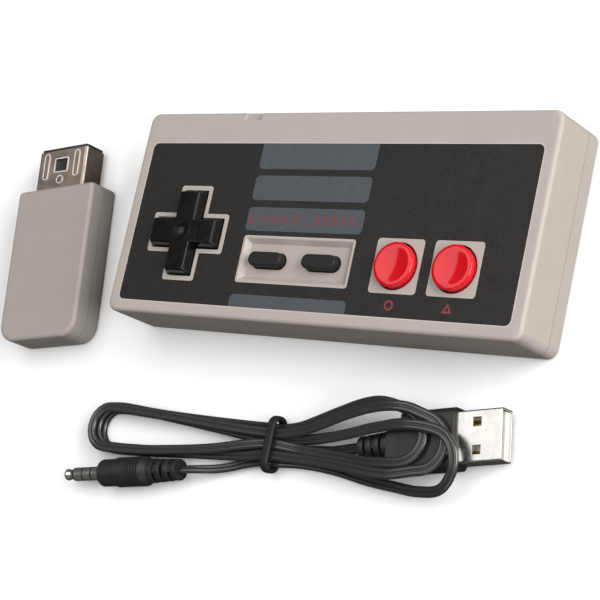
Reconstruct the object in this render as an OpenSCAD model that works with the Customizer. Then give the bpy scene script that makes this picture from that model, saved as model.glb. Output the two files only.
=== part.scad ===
// Wireless two-button game controller with its plug-in receiver and its charging cable.
// Millimetres. The controller lies on its back: +X to its right, +Y to its top edge, +Z out of its face.
// The origin is the centre of the controller's back face. The receiver and the cable lie beside it.

/* [Controller] */
// Length of the controller
body_w = 123; // [121:1:130]
// Height of the controller's face
body_h = 53; // [52:1:58]
// Thickness of the controller
body_t = 17; // [16.5:0.5:18]
// Height of the back shell's side wall
parting_z = 5; // [4.5:0.5:6]
// Wall thickness of both shells
wall = 1.8; // [1.5:0.1:1.8]
// Radius of the upright corners
corner_r = 2.6; // [2.4:0.2:4]
// Rounding of the edge round the face
face_edge = 1; // [0.6:0.1:1.2]
// Rounding of the edge round the back
back_edge = 0.9; // [0.6:0.1:1.7]

/* [Face plate] */
// Width of the dark face plate
plate_w = 116.4; // [112:0.2:117]
// Height of the dark face plate
plate_h = 41.6; // [40:0.2:43]
// Thickness of the face plate
plate_t = 0.4; // [0.3:0.05:0.5]

/* [Direction pad] */
// Tip to tip length of the cross
dpad_len = 21.6; // [20:0.2:22]
// Width of one arm
dpad_arm = 7.4; // [6.6:0.2:7.6]
// How far the cross stands above the face
dpad_rise = 2.4; // [2:0.1:3.4]
// Rounding of the direction pad's upper edges
dpad_edge = 0.3; // [0.2:0.1:0.6]

/* [Buttons] */
// Diameter of the two round buttons
button_d = 10.7; // [10:0.1:11.4]
// How far the round buttons stand above the face
button_rise = 1.9; // [1.6:0.1:2.6]
// Travel of the round buttons
button_travel = 1.5; // [1:0.1:1.5]
// Length of the select and start keys
key_len = 10; // [9:0.2:12.4]
// Width of the select and start keys
key_wid = 3.6; // [3:0.2:3.8]
// How far the select and start keys stand above the face
key_rise = 1.2; // [0.3:0.1:1.4]

/* [Receiver] */
// Width of the receiver's housing
dongle_w = 27.6; // [26:0.2:30]
// Length of the receiver's housing
dongle_l = 43; // [40:1:46]
// Thickness of the receiver's housing
dongle_t = 9.6; // [9.2:0.2:11]
// Rounding of the receiver's edges
dongle_edge = 1; // [0.6:0.1:1.2]
// Width of the receiver's plug
connector_w = 17.6; // [16:0.2:18]
// Length of the receiver's plug outside the housing
connector_l = 12; // [11:0.5:13]
// Thickness of the receiver's plug
connector_t = 7.4; // [7:0.2:7.6]

/* [Charging cable] */
// Radius of the jack's shaft
jack_r = 1.75; // [1.7:0.05:1.75]
// Radius of the jack's grip
jack_grip_r = 3.8; // [3.6:0.1:4]
// Width of the flat twin cord
cord_d = 2.6; // [2.4:0.1:2.7]
// Width of the USB plug's grip
usb_grip_w = 14; // [13.6:0.2:14.6]
// Thickness of the USB plug's grip
usb_grip_t = 6.8; // [6.6:0.2:7.2]

/* [Hidden] */
$fn = 64;

grey = "#b8afa7";
black = "#1c1c1e";
red = "#e2232e";
metal = "#c9c6c0";

// Heights inside the controller
roof_z = body_t - 2.2;
board_z = 7.4;
board_t = 1.6;
board_top = board_z + board_t;
dome_top = board_top + 3.2;
pill_t = 0.5;
fit = 0.15;
skin = 0.01;

// Controls on the face
plate_y = -2.55;
dpad_xy = [-40, -5.35];
dpad_frame_len = 24.6;
dpad_frame_arm = 10.2;
dpad_gap = 0.35;
dpad_pivot_z = 14;
dpad_flange_z = roof_z - 3;
dpad_flange_t = 1.4;
b_xy = [25.25, -11.2];
a_xy = [41.3, -11.2];
button_frame = 13.1;
button_hole_r = button_d / 2 + 0.4;
key_y = -11.3;
select_xy = [-13, key_y];
start_xy = [3.3, key_y];
recess_x = -4.5;
recess_y = -11.25;
recess_w = 33.8;
recess_h = 11.9;
recess_rim = 0.5;
recess_slope = 1.3;
recess_depth = 1.2;
notch_x = -27.1;
notch_w = 5.4;
notch_depth = 2.2;
notch_drop = 0.9;
socket_z = 11.8;
socket_len = 13.6;
socket_bore_r = 1.8;
screws = [[-56, 20.5], [56, 20.5], [-56, -20.5], [56, -20.5], [15.6, 13], [15.6, -19.3]];

// Receiver
dongle_xy = [-95.5, -13];
dongle_turn = 8;
dongle_wall = 1.5;
dongle_split = 4.8;
connector_wall = 0.4;

// Cable
jack_at = [-75.1, -68.4, jack_grip_r];
jack_turn = 8.4;
jack_shaft = 14;
jack_grip_l = 16;
jack_boot_l = 9;
usb_at = [16.5, -51.5, usb_grip_t / 2];
usb_turn = 10;
usb_boot_l = 8.4;
usb_grip_l = 18;
usb_shell_w = 12;
usb_shell_t = 4.5;
usb_shell_l = 12;
usb_wall = 0.3;
tie_x = -10;
hank_y = -53.4;
jack_lead_route = [
    [-36.52, -62.7, 3.8], [-32, -62, 3.4], [-27, -61.1, 2], [-22, -59.8, 1.45], [-18.5, -58.7, 1.5],
    [-15.5, -58, 1.7]
];
usb_lead_route = [[6.6, -53.2, 1.8], [9.6, -52.7, 2.2], [13, -52.1, 2.8], [16.5, -51.5, 3.4]];

// A flat-bottomed plate with round upright corners
module rounded_plate(w, h, r, t) {
    linear_extrude(t) rounded_rect(w, h, r);
}

module rounded_rect(w, h, r) {
    square([w - 2 * r, h], center = true);
    square([w, h - 2 * r], center = true);
    for (x = [-1, 1], y = [-1, 1])
        translate([x * (w / 2 - r), y * (h / 2 - r)]) circle(r);
}

// The same with the upper edge rounded off
module soft_plate(w, h, r, t, edge) {
    hull() {
        rounded_plate(w, h, r, t - edge);
        for (a = [22.5:22.5:90]) {
            inset = edge * (1 - cos(a));
            translate([0, 0, t - edge + edge * sin(a) - skin])
                rounded_plate(w - 2 * inset, h - 2 * inset, r - inset, skin);
        }
    }
}

module soft_capsule(len, wid, t, edge) {
    hull() {
        capsule(len, wid, t - edge);
        for (a = [30:30:90]) {
            inset = edge * (1 - cos(a));
            translate([0, 0, t - edge + edge * sin(a) - skin])
                capsule(len - 2 * inset, wid - 2 * inset, skin);
        }
    }
}

module cross(len, arm, t, r = 0.4) {
    rounded_plate(len, arm, r, t);
    rounded_plate(arm, len, r, t);
}

module capsule(len, wid, t) {
    linear_extrude(t) {
        square([len - wid, wid], center = true);
        for (x = [-1, 1])
            translate([x * (len - wid) / 2, 0]) circle(wid / 2);
    }
}

module ring(outer_r, inner_r, h) {
    difference() {
        cylinder(h = h, r = outer_r);
        translate([0, 0, -1]) cylinder(h = h + 2, r = inner_r);
    }
}

// A press dome of silicone rubber: a thin cone with a solid core that carries the pill
module dome(base_r, top_r, core_r, pill_z, top_z = dome_top) {
    skirt = 0.6;
    difference() {
        translate([0, 0, board_top + 0.1]) cylinder(h = top_z - board_top - 0.1, r1 = base_r, r2 = top_r);
        translate([0, 0, board_top])
            cylinder(h = top_z - board_top - skirt, r1 = base_r - skirt, r2 = top_r - skirt);
    }
    translate([0, 0, pill_z + pill_t]) cylinder(h = top_z - pill_z - pill_t, r = core_r);
}

module sheet_with_domes(w, h, at, spots, base_r) {
    difference() {
        translate([at[0], at[1], board_top + 0.1]) rounded_plate(w, h, 1.5, 0.8);
        for (p = spots)
            translate([p[0], p[1], board_top]) cylinder(h = 2, r = base_r - 0.3);
    }
}

// ---- Controller housing ----

module front_shell() {
    color(grey) difference() {
        union() {
            difference() {
                translate([0, 0, parting_z])
                    soft_plate(body_w, body_h, corner_r, body_t - parting_z, face_edge);
                translate([0, 0, parting_z - 1])
                    rounded_plate(body_w - 2 * wall, body_h - 2 * wall, corner_r - wall, roof_z - parting_z + 1);
            }
            // Thicker roof under the key recess
            translate([recess_x, recess_y, roof_z - 0.8])
                rounded_plate(recess_w + 1, recess_h + 2, 1, 1);
            // Screw posts
            for (p = screws)
                translate([p[0], p[1], board_z + 0.1]) cylinder(h = roof_z - board_z, r = 2.5);
            // Guide rings for the round buttons
            for (p = [b_xy, a_xy])
                translate([p[0], p[1], roof_z - 2]) cylinder(h = 2.2, r = 7.9);
        }
        plate_pocket();
        dpad_opening();
        for (p = [b_xy, a_xy]) {
            translate([p[0], p[1], roof_z - 3]) cylinder(h = 3, r = 7.15);
            translate([p[0], p[1], roof_z - 1]) cylinder(h = 9, r = button_hole_r);
        }
        key_recess();
        for (p = screws)
            translate([p[0], p[1], board_z]) cylinder(h = 5.5, r = 1.15);
        // Round hole for the charge socket in the top wall, and the shallow notch above it
        translate([notch_x, body_h / 2 + 1, socket_z]) rotate([90, 0, 0]) cylinder(h = wall + 1.5, r = 2.8);
        translate([notch_x - notch_w / 2, body_h / 2 - notch_depth, body_t - notch_drop])
            cube([notch_w, notch_depth + 1, 2]);
    }
}

// The pocket for the face plate leaves the frames round the controls standing
module plate_pocket() {
    difference() {
        translate([0, plate_y, body_t - plate_t - 0.05])
            rounded_plate(plate_w + 0.2, plate_h + 0.2, 1.6, 2);
        translate([0, 0, body_t - 1]) control_frames(3, 0);
    }
}

module control_frames(t, gap) {
    translate([dpad_xy[0], dpad_xy[1], 0])
        cross(dpad_frame_len + 2 * gap, dpad_frame_arm + 2 * gap, t, 0.8);
    for (p = [b_xy, a_xy])
        translate([p[0], p[1], 0])
            rounded_plate(button_frame + 2 * gap, button_frame + 2 * gap, 0.9, t);
    translate([recess_x, recess_y, 0])
        rounded_plate(recess_w + 2 * gap, recess_h + 2 * gap, 0.8, t);
}

module dpad_opening() {
    translate([dpad_xy[0], dpad_xy[1], roof_z - 1])
        cross(dpad_len + 2 * dpad_gap, dpad_arm + 2 * dpad_gap, 6);
}

// A shallow dish with sloping sides and a slot for each key
module key_recess() {
    floor_w = recess_w - 2 * (recess_rim + recess_slope);
    floor_h = recess_h - 2 * (recess_rim + recess_slope);
    translate([recess_x, recess_y, 0]) hull() {
        translate([0, 0, body_t - recess_depth]) rounded_plate(floor_w, floor_h, 0.3, 0.1);
        translate([0, 0, body_t + 0.1])
            rounded_plate(recess_w - 2 * recess_rim, recess_h - 2 * recess_rim, 0.5, 0.1);
    }
    for (p = [select_xy, start_xy])
        translate([p[0], p[1], roof_z - 2]) capsule(key_len + 0.6, key_wid + 0.6, 6);
}

module back_shell() {
    lip = 0.9;
    inset = wall + fit + lip;
    color("#aaa199") difference() {
        union() {
            difference() {
                union() {
                    translate([0, 0, parting_z]) mirror([0, 0, 1])
                        soft_plate(body_w, body_h, corner_r, parting_z, back_edge);
                    rounded_plate(body_w - 2 * (wall + fit), body_h - 2 * (wall + fit), corner_r - wall, parting_z + 1.6);
                }
                translate([0, 0, wall])
                    rounded_plate(body_w - 2 * inset, body_h - 2 * inset, 1, parting_z + 2);
            }
            for (p = screws)
                translate([p[0], p[1], 0.5]) cylinder(h = board_z - 0.5, r = 3);
        }
        for (p = screws) {
            translate([p[0], p[1], -1]) cylinder(h = 4, r = 2.25);
            translate([p[0], p[1], 2]) cylinder(h = 9, r = 1.3);
        }
        // Room for the socket's body at the rim
        translate([notch_x - 4, body_h / 2 - inset - 1, parting_z]) cube([8, lip + 1 + fit, 3]);
    }
}

module face_plate() {
    color("#322f2e") difference() {
        translate([0, plate_y, body_t - plate_t - 0.05]) rounded_plate(plate_w, plate_h, 1.5, plate_t);
        translate([0, 0, body_t - 2]) control_frames(4, 0.1);
    }
}

module case_screws() {
    color(metal)
        for (p = screws)
            translate([p[0], p[1], 0]) difference() {
                union() {
                    translate([0, 0, 1.3]) cylinder(h = 1.7, r = 2);
                    translate([0, 0, 2.9]) cylinder(h = 8.6, r = 1.1);
                }
                // Cross drive
                translate([-0.25, -1.2, 0.9]) cube([0.5, 2.4, 1.3]);
                translate([-1.2, -0.25, 0.9]) cube([2.4, 0.5, 1.3]);
            }
}

// ---- Direction pad ----

module dpad_cap() {
    base_z = dpad_flange_z + dpad_flange_t;
    top_z = body_t + dpad_rise;
    taper = 0.65;
    color(black) translate([dpad_xy[0], dpad_xy[1], 0]) difference() {
        union() {
            translate([0, 0, base_z - 0.2]) cross(dpad_len, dpad_arm, body_t - base_z + 0.5);
            // Tapered part above the face, one block for each pair of arms
            for (turn = [0, 90])
                rotate(turn) hull() {
                    translate([0, 0, body_t + 0.2]) rounded_plate(dpad_len, dpad_arm, 0.4, 0.1);
                    for (a = [0:22.5:90]) {
                        inset = taper + dpad_edge * (1 - cos(a));
                        translate([0, 0, top_z - dpad_edge * (1 - sin(a)) - skin])
                            rounded_plate(dpad_len - 2 * inset, dpad_arm - 2 * inset, 0.4, skin);
                    }
                }
            // Flange that keeps the cross inside the shell
            translate([0, 0, dpad_flange_z]) cross(dpad_len + 2.4, dpad_arm + 3, dpad_flange_t, 1);
        }
        // Dimple in the middle, with a fine groove round it
        translate([0, 0, top_z + 2]) sphere(r = 2.9);
        translate([0, 0, top_z]) rotate_extrude() translate([2.5, 0]) circle(r = 0.15, $fn = 24);
        // Arrow-shaped hollows
        for (turn = [0:90:270])
            rotate(turn) translate([5.3, 0, top_z - 0.15]) linear_extrude(1) arrow_outline();
        // Socket for the rocker
        translate([0, 0, dpad_pivot_z]) sphere(r = 2.65);
        translate([0, 0, dpad_pivot_z - 6]) cylinder(h = 6, r = 2.65);
    }
}

// A pentagon that points along +X
module arrow_outline() {
    polygon([[0, -1.75], [2.2, -1.75], [3.9, 0], [2.2, 1.75], [0, 1.75]]);
}

// Slip cup between the post's ball and the cap: the cap tilts left and right on it, and it tilts up and down
module dpad_rocker() {
    color("#d9d4c8") translate([dpad_xy[0], dpad_xy[1], dpad_pivot_z]) difference() {
        sphere(r = 2.6);
        sphere(r = 1.65);
        translate([-4, -4, -8]) cube([8, 8, 8]);
    }
}

module dpad_post() {
    color("#d9d4c8") translate([dpad_xy[0], dpad_xy[1], 0]) {
        translate([0, 0, board_top]) cylinder(h = dpad_pivot_z - board_top, r = 1.2);
        translate([0, 0, dpad_pivot_z]) sphere(r = 1.6);
    }
}

dpad_spots = [for (turn = [0:90:270]) [dpad_xy[0] + 8.3 * cos(turn), dpad_xy[1] + 8.3 * sin(turn)]];
dpad_pill_z = board_top + 1.05;

module dpad_pills() {
    color("#2b2b2b")
        for (p = dpad_spots)
            translate([p[0], p[1], dpad_pill_z]) cylinder(h = pill_t, r = 1.8);
}

module dpad_membrane() {
    color("#8d8d8a") difference() {
        union() {
            sheet_with_domes(27, 27, dpad_xy, dpad_spots, 3.4);
            for (p = dpad_spots)
                translate([p[0], p[1], 0]) dome(3.5, 2.6, 1.8, dpad_pill_z, dpad_flange_z - 0.05);
        }
        // Clear hole for the post
        translate([dpad_xy[0], dpad_xy[1], board_top]) cylinder(h = 2, r = 3);
    }
}

// ---- Round buttons ----

button_pill_z = board_top + button_travel + 0.1;

module round_button(p) {
    flange_z = roof_z - 1.3;
    top_z = body_t + button_rise;
    rim_w = 1.05;
    rim_h = 0.5;
    hollow_r = button_d / 2 - rim_w + 0.1;
    hollow_depth = 0.55;
    bowl_r = (pow(hollow_r, 2) + pow(hollow_depth, 2)) / (2 * hollow_depth);
    color(red) translate([p[0], p[1], 0]) difference() {
        union() {
            rotate_extrude() polygon(concat(
                [[0, top_z], [0, flange_z], [button_d / 2, flange_z]],
                [for (a = [0:15:90]) [button_d / 2 - rim_w * (1 - cos(a)), top_z - rim_h * (1 - sin(a))]]
            ));
            translate([0, 0, flange_z]) cylinder(h = 1.2, r = 6.7);
            translate([0, 0, dome_top + 0.05]) cylinder(h = flange_z - dome_top, r = 3.5);
        }
        // Hollow for the fingertip
        translate([0, 0, top_z - hollow_depth + bowl_r]) sphere(r = bowl_r, $fn = 120);
    }
}

module button_pill(p) {
    color("#2b2b2b") translate([p[0], p[1], button_pill_z]) cylinder(h = pill_t, r = 2.4);
}

module button_b() { round_button(b_xy); }
module button_a() { round_button(a_xy); }
module button_b_pill() { button_pill(b_xy); }
module button_a_pill() { button_pill(a_xy); }

module ab_membrane() {
    middle = [(b_xy[0] + a_xy[0]) / 2, b_xy[1]];
    color("#8d8d8a") {
        sheet_with_domes(28.5, 13, middle, [b_xy, a_xy], 5);
        for (p = [b_xy, a_xy])
            translate([p[0], p[1], 0]) dome(5.2, 3.6, 2.4, button_pill_z);
    }
}

// ---- Select and start keys ----

key_travel = 1.2;
key_pill_z = board_top + key_travel + 0.1;

module pill_key(p) {
    flange_z = roof_z - 2;
    color(black) translate([p[0], p[1], 0]) {
        translate([0, 0, flange_z]) soft_capsule(key_len, key_wid, body_t + key_rise - flange_z, 0.5);
        translate([0, 0, flange_z]) capsule(key_len + 1.8, key_wid + 1.8, 1);
        translate([0, 0, dome_top + 0.05]) cylinder(h = flange_z - dome_top, r = 2.4);
    }
}

module key_pill(p) {
    color("#2b2b2b") translate([p[0], p[1], key_pill_z]) cylinder(h = pill_t, r = 2);
}

module select_key() { pill_key(select_xy); }
module start_key() { pill_key(start_xy); }
module select_pill() { key_pill(select_xy); }
module start_pill() { key_pill(start_xy); }

module key_membrane() {
    middle = [(select_xy[0] + start_xy[0]) / 2, key_y];
    color("#8d8d8a") {
        sheet_with_domes(27, 10, middle, [select_xy, start_xy], 4);
        for (p = [select_xy, start_xy])
            translate([p[0], p[1], 0]) dome(4.2, 2.9, 2, key_pill_z);
    }
}

// ---- Electronics ----

module main_board() {
    color("#2f6b45") difference() {
        translate([0, -2.25, board_z]) rounded_plate(105, 37.5, 1, board_t);
        for (p = [screws[4], screws[5]])
            translate([p[0], p[1], board_z - 1]) cylinder(h = 4, r = 2.9);
    }
}

// Contact pads, a few hundredths thick, one under each pill
module board_pads() {
    pad_t = 0.05;
    color("#c8a24a") {
        for (p = dpad_spots)
            translate([p[0], p[1], board_top]) cylinder(h = pad_t, r = 2.2);
        for (p = [b_xy, a_xy])
            translate([p[0], p[1], board_top]) cylinder(h = pad_t, r = 2.9);
        for (p = [select_xy, start_xy])
            translate([p[0], p[1], board_top]) cylinder(h = pad_t, r = 2.4);
    }
}

module main_chip() {
    color("#1a1a1a") translate([-6, 7, board_top]) rounded_plate(7, 7, 0.3, 1);
}

module radio_can() {
    color(metal) translate([36, 7.5, board_top]) rounded_plate(14, 11, 0.5, 2.2);
}

module battery() {
    color("#6f7f8f") translate([-18, -2, wall + 0.1]) rounded_plate(44, 26, 1.5, 4.6);
}

module charge_socket() {
    front_y = body_h / 2 - wall - 0.05;
    color(black) translate([notch_x, front_y, socket_z]) difference() {
        union() {
            translate([-3.4, -socket_len, board_top - socket_z]) cube([6.8, socket_len, 5.4]);
            rotate([90, 0, 0]) cylinder(h = 3, r = 2.5);
        }
        translate([0, 1, 0]) rotate([90, 0, 0]) cylinder(h = socket_len, r = socket_bore_r);
    }
}

// ---- Receiver ----

module at_dongle() {
    translate([dongle_xy[0], dongle_xy[1], 0]) rotate(dongle_turn) children();
}

// Outline with two large corners at the free end and two small ones at the plug's end
module dongle_outline(inset) {
    big = 5 - inset;
    small = max(1.2 - inset, 0.1);
    w = dongle_w / 2 - inset;
    l = dongle_l / 2 - inset;
    hull()
        for (x = [-1, 1]) {
            translate([x * (w - big), big - l]) circle(big);
            translate([x * (w - small), l - small]) circle(small);
        }
}

// Half of the housing as a full block with its outer edge rounded
module dongle_block(t) {
    hull() {
        linear_extrude(t - dongle_edge) dongle_outline(0);
        for (a = [22.5:22.5:90])
            translate([0, 0, t - dongle_edge + dongle_edge * sin(a) - skin])
                linear_extrude(skin) dongle_outline(dongle_edge * (1 - cos(a)));
    }
}

// Opening in the housing's end for the plug
module connector_gate() {
    translate([-connector_w / 2 - 0.1, dongle_l / 2 - 4, dongle_t / 2 - connector_t / 2 - 0.1])
        cube([connector_w + 0.2, 8, connector_t + 0.2]);
}

module dongle_top_shell() {
    color(grey) at_dongle() difference() {
        translate([0, 0, dongle_split]) dongle_block(dongle_t - dongle_split);
        translate([0, 0, dongle_split - 1])
            linear_extrude(dongle_t - dongle_split + 1 - dongle_wall) dongle_outline(dongle_wall);
        connector_gate();
    }
}

module dongle_bottom_shell() {
    color("#aaa199") at_dongle() difference() {
        translate([0, 0, dongle_split]) mirror([0, 0, 1]) dongle_block(dongle_split);
        translate([0, 0, dongle_wall]) linear_extrude(dongle_split) dongle_outline(dongle_wall);
        connector_gate();
    }
}

module dongle_board() {
    color("#2f6b45") at_dongle()
        translate([0, -3.5, 3.4]) rounded_plate(20, 30, 1, 1.2);
}

module dongle_chip() {
    color("#1a1a1a") at_dongle() translate([0, -2, 4.6]) rounded_plate(5, 5, 0.2, 0.9);
}

module dongle_crystal() {
    color(metal) at_dongle() translate([-5.5, -8, 4.6]) rounded_plate(3.2, 2.5, 0.3, 0.8);
}

// Metal jacket with a square window, two pressed beads and a punched dimple
module connector_shell() {
    start = dongle_l / 2 - 3.5;
    total = connector_l - 0.9 + 3.5;
    top_z = dongle_t / 2 + connector_t / 2;
    mark_y = dongle_l / 2 + 6.7;
    color("#8b8078") at_dongle() difference() {
        union() {
            translate([0, start, dongle_t / 2]) rotate([-90, 0, 0])
                rounded_plate(connector_w, connector_t, 0.9, total);
            for (x = [-1, 1])
                translate([x * 5.6, mark_y, top_z - 0.1]) rotate(90) capsule(7.4, 1.7, 0.2);
            translate([0, dongle_l / 2 + 2.5, top_z - 0.1]) cylinder(h = 0.2, r = 1.1);
        }
        translate([0, start - 1, dongle_t / 2]) rotate([-90, 0, 0])
            rounded_plate(connector_w - 2 * connector_wall, connector_t - 2 * connector_wall, 0.5, total + 2);
        translate([-2.2, mark_y - 1.8, top_z - 1]) cube([4.4, 3.6, 3]);
    }
}

// Black insulator, with the slot that the socket's tongue enters
module connector_core() {
    color(black) at_dongle() difference() {
        translate([0, dongle_l / 2 - 3.3, dongle_t / 2]) rotate([-90, 0, 0])
            rounded_plate(connector_w - 2 * connector_wall - 0.1, connector_t - 2 * connector_wall - 0.1,
                0.4, connector_l + 3.3);
        translate([-6.5, dongle_l / 2 + 2, dongle_t / 2 - 1.1]) cube([13, connector_l, 2.2]);
    }
}

module connector_contacts() {
    color("#c8a24a") at_dongle()
        for (i = [0:5])
            translate([-5.5 + 2 * i, dongle_l / 2 + 2, dongle_t / 2 - 1.1]) cube([1, connector_l - 3, 0.3]);
}

// ---- Charging cable: jack ----

// Local +Z runs from the jack's tip to the cord
module at_jack(along) {
    translate(jack_at) rotate([0, 90, jack_turn]) translate([0, 0, along]) children();
}

module jack_tip() {
    color(metal) at_jack(0) rotate_extrude() polygon([
        [0, 0], [0.5, 0.15], [1.45, 1.1], [1.5, 1.4], [1.15, 3], [1.2, 3.3], [1.6, 4], [0, 4]
    ]);
}

module jack_ring_1() { color(metal) at_jack(4.5) ring(jack_r, 0.95, 2.5); }
module jack_ring_2() { color(metal) at_jack(7.5) ring(jack_r, 0.95, 2.4); }

module jack_sleeve() {
    color(metal) at_jack(10.4) difference() {
        union() {
            cylinder(h = 3.6, r = jack_r);
            translate([0, 0, 2.9]) cylinder(h = 0.7, r = 2.7);
        }
        translate([0, 0, -1]) cylinder(h = 6, r = 0.95);
    }
}

module jack_insulator() {
    color("#111111") {
        at_jack(4) cylinder(h = 9.5, r = 0.9);
        for (along = [4, 7, 9.9])
            at_jack(along) cylinder(h = 0.5, r = jack_r);
    }
}

module jack_grip() {
    rib_pitch = 0.9;
    color(black) {
        at_jack(jack_shaft) cylinder(h = 14, r = jack_grip_r - 0.3);
        at_jack(jack_shaft + 5) cylinder(h = 4.4, r = jack_grip_r);
        // Fine ribs
        for (i = [0:3])
            at_jack(jack_shaft + 9.8 + rib_pitch * i) cylinder(h = 0.5, r = jack_grip_r);
        at_jack(jack_shaft + 13.4) cylinder(h = 0.6, r = jack_grip_r);
        at_jack(jack_shaft + 14) cylinder(h = 2, r1 = jack_grip_r, r2 = 2.7);
    }
}

// Four discs on a core, joined by pairs of bridges that turn a quarter from gap to gap
module segmented_boot(len, r1, r2) {
    pitch = (len - 1.5) / 3;
    cylinder(h = len, r = 1.6);
    for (i = [0:3])
        translate([0, 0, pitch * i]) cylinder(h = 1.5, r = r1 + (r2 - r1) * i / 3);
    for (i = [0:2])
        translate([0, 0, pitch * (i + 0.5) + 0.75]) rotate(90 * i)
            cube([2 * min(r1, r2) - 0.6, 1.8, pitch - 1.2], center = true);
}

module jack_boot() {
    color(black) at_jack(jack_shaft + jack_grip_l) segmented_boot(jack_boot_l, 3.05, 2.7);
}

// ---- Charging cable: cord ----

function unit(v) = v / norm(v);
function heading(pts, i) = unit(pts[min(i + 1, len(pts) - 1)] - pts[max(i - 1, 0)]);
function sideways(v) = unit(cross(v, [0, 0, 1]));
function ring_points(p, v, r, n) = [
    for (k = [0:n - 1])
        p + r * cos(360 * k / n) * sideways(v) + r * sin(360 * k / n) * cross(sideways(v), v)
];

// A tube of n sides swept along a route
module tube(pts, r, n = 8) {
    rings = len(pts);
    polyhedron(
        points = [for (i = [0:rings - 1]) each ring_points(pts[i], heading(pts, i), r, n)],
        faces = concat(
            [[for (k = [0:n - 1]) k]],
            [for (i = [0:rings - 2], k = [0:n - 1])
                [i * n + k, (i + 1) * n + k, (i + 1) * n + (k + 1) % n, i * n + (k + 1) % n]],
            [[for (k = [n - 1:-1:0]) (rings - 1) * n + k]]
        )
    );
}

module jack_lead() { color(black) tube(jack_lead_route, cord_d / 2 / cos(22.5)); }
module usb_lead() { color(black) tube(usb_lead_route, cord_d / 2 / cos(22.5)); }

// Outer shape of the tied hank: a low lobe of folds, a waist in the tie and loops that cross over the plug
module cord_hank() {
    low = 5.6;
    high = 10.4;
    color(black) difference() {
        union() {
            linear_extrude(low) hull() {
                translate([-64.1, -54.1]) circle(7, $fn = 32);
                translate([-16, -58.2]) square([0.5, 9.8]);
            }
            translate([-15.5, -59.2, 0]) cube([3.8, 11.6, low]);
            translate([-12.2, -59, 1.6]) cube([4.4, 11.2, 2.7]);
            intersection() {
                linear_extrude(high) hull() {
                    translate([-8.3, -59.2]) square([0.5, 11.6]);
                    translate([21, -46.9]) circle(7, $fn = 32);
                    translate([37.4, -51.2]) circle(9.6, $fn = 40);
                }
                rotate([90, 0, 0]) translate([0, 0, 20])
                    linear_extrude(60) polygon([[-9, 0], [48, 0], [48, high], [20, high], [-9, 5.4]]);
            }
        }
        // Tunnel for the USB plug, narrow round its lead and wide round its grip
        translate([usb_at[0], usb_at[1], 0]) rotate(usb_turn) {
            translate([-10, -4, -1]) cube([20, 8, usb_grip_t + 1.3]);
            translate([usb_boot_l - 0.5, -usb_grip_w / 2 - 0.3, -1])
                cube([60, usb_grip_w + 0.6, usb_grip_t + 1.3]);
        }
    }
}

module cable_tie() {
    color(black) translate([tie_x - 1.1, hank_y, 2.9]) rotate([90, 0, 90]) difference() {
        rounded_plate(14, 5.8, 2.8, 2.2);
        translate([0, 0, -1]) rounded_plate(11.6, 3, 1.2, 5);
    }
}

// ---- Charging cable: USB plug, lying on its wide side ----

// Local +Z runs from the cord to the plug's open end, local X across its width
module at_usb(along) {
    translate(usb_at) rotate([0, 90, usb_turn]) rotate(90) translate([0, 0, along]) children();
}

module usb_boot() {
    color(black) at_usb(0) segmented_boot(usb_boot_l, 2.6, 3.2);
}

module usb_grip() {
    color(black) at_usb(usb_boot_l) difference() {
        union() {
            rounded_plate(usb_grip_w - 2, usb_grip_t - 0.8, 2.4, 4);
            translate([0, 0, 4]) rounded_plate(usb_grip_w, usb_grip_t, 1.6, usb_grip_l - 4);
        }
        // Grip grooves in both narrow sides
        for (i = [0:4], x = [-1, 1])
            translate([x * usb_grip_w / 2 - 0.35, -usb_grip_t, 7 + 1.1 * i]) cube([0.7, 2 * usb_grip_t, 0.5]);
    }
}

module usb_shell() {
    color(metal) at_usb(usb_boot_l + usb_grip_l) difference() {
        rounded_plate(usb_shell_w, usb_shell_t, 0.5, usb_shell_l);
        translate([0, 0, -1])
            rounded_plate(usb_shell_w - 2 * usb_wall, usb_shell_t - 2 * usb_wall, 0.25, usb_shell_l + 2);
        // Latch windows in both wide sides
        for (x = [-1, 1])
            translate([x * 3.2 - 1.1, -usb_shell_t, 4.5]) cube([2.2, 2 * usb_shell_t, 2.2]);
    }
}

module usb_tongue() {
    color("#e9e6df") at_usb(usb_boot_l + usb_grip_l)
        translate([-5.5, -1.9, 0]) cube([11, 1.8, usb_shell_l - 0.6]);
}

module usb_contacts() {
    color("#c8a24a") at_usb(usb_boot_l + usb_grip_l)
        for (x = [-3.5, -1, 1, 3.5])
            translate([x - 0.5, -0.1, 1]) cube([1, 0.15, usb_shell_l - 3]);
}

front_shell();
back_shell();
face_plate();
case_screws();
dpad_cap();
dpad_rocker();
dpad_post();
dpad_pills();
dpad_membrane();
button_b();
button_b_pill();
button_a();
button_a_pill();
ab_membrane();
select_key();
select_pill();
start_key();
start_pill();
key_membrane();
main_board();
board_pads();
main_chip();
radio_can();
battery();
charge_socket();
dongle_top_shell();
dongle_bottom_shell();
dongle_board();
dongle_chip();
dongle_crystal();
connector_shell();
connector_core();
connector_contacts();
jack_tip();
jack_ring_1();
jack_ring_2();
jack_sleeve();
jack_insulator();
jack_grip();
jack_boot();
jack_lead();
cord_hank();
usb_lead();
usb_boot();
usb_grip();
usb_shell();
usb_tongue();
usb_contacts();
cable_tie();
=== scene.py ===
"""A flat two-button wireless game controller with its plug-in receiver and its charging cable.

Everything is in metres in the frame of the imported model: X to the controller's right, Y to its top
side, Z up from the surface that the set lies on.
"""
import math

import bmesh
import bpy
import numpy as np
from mathutils import Matrix, Vector


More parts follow.
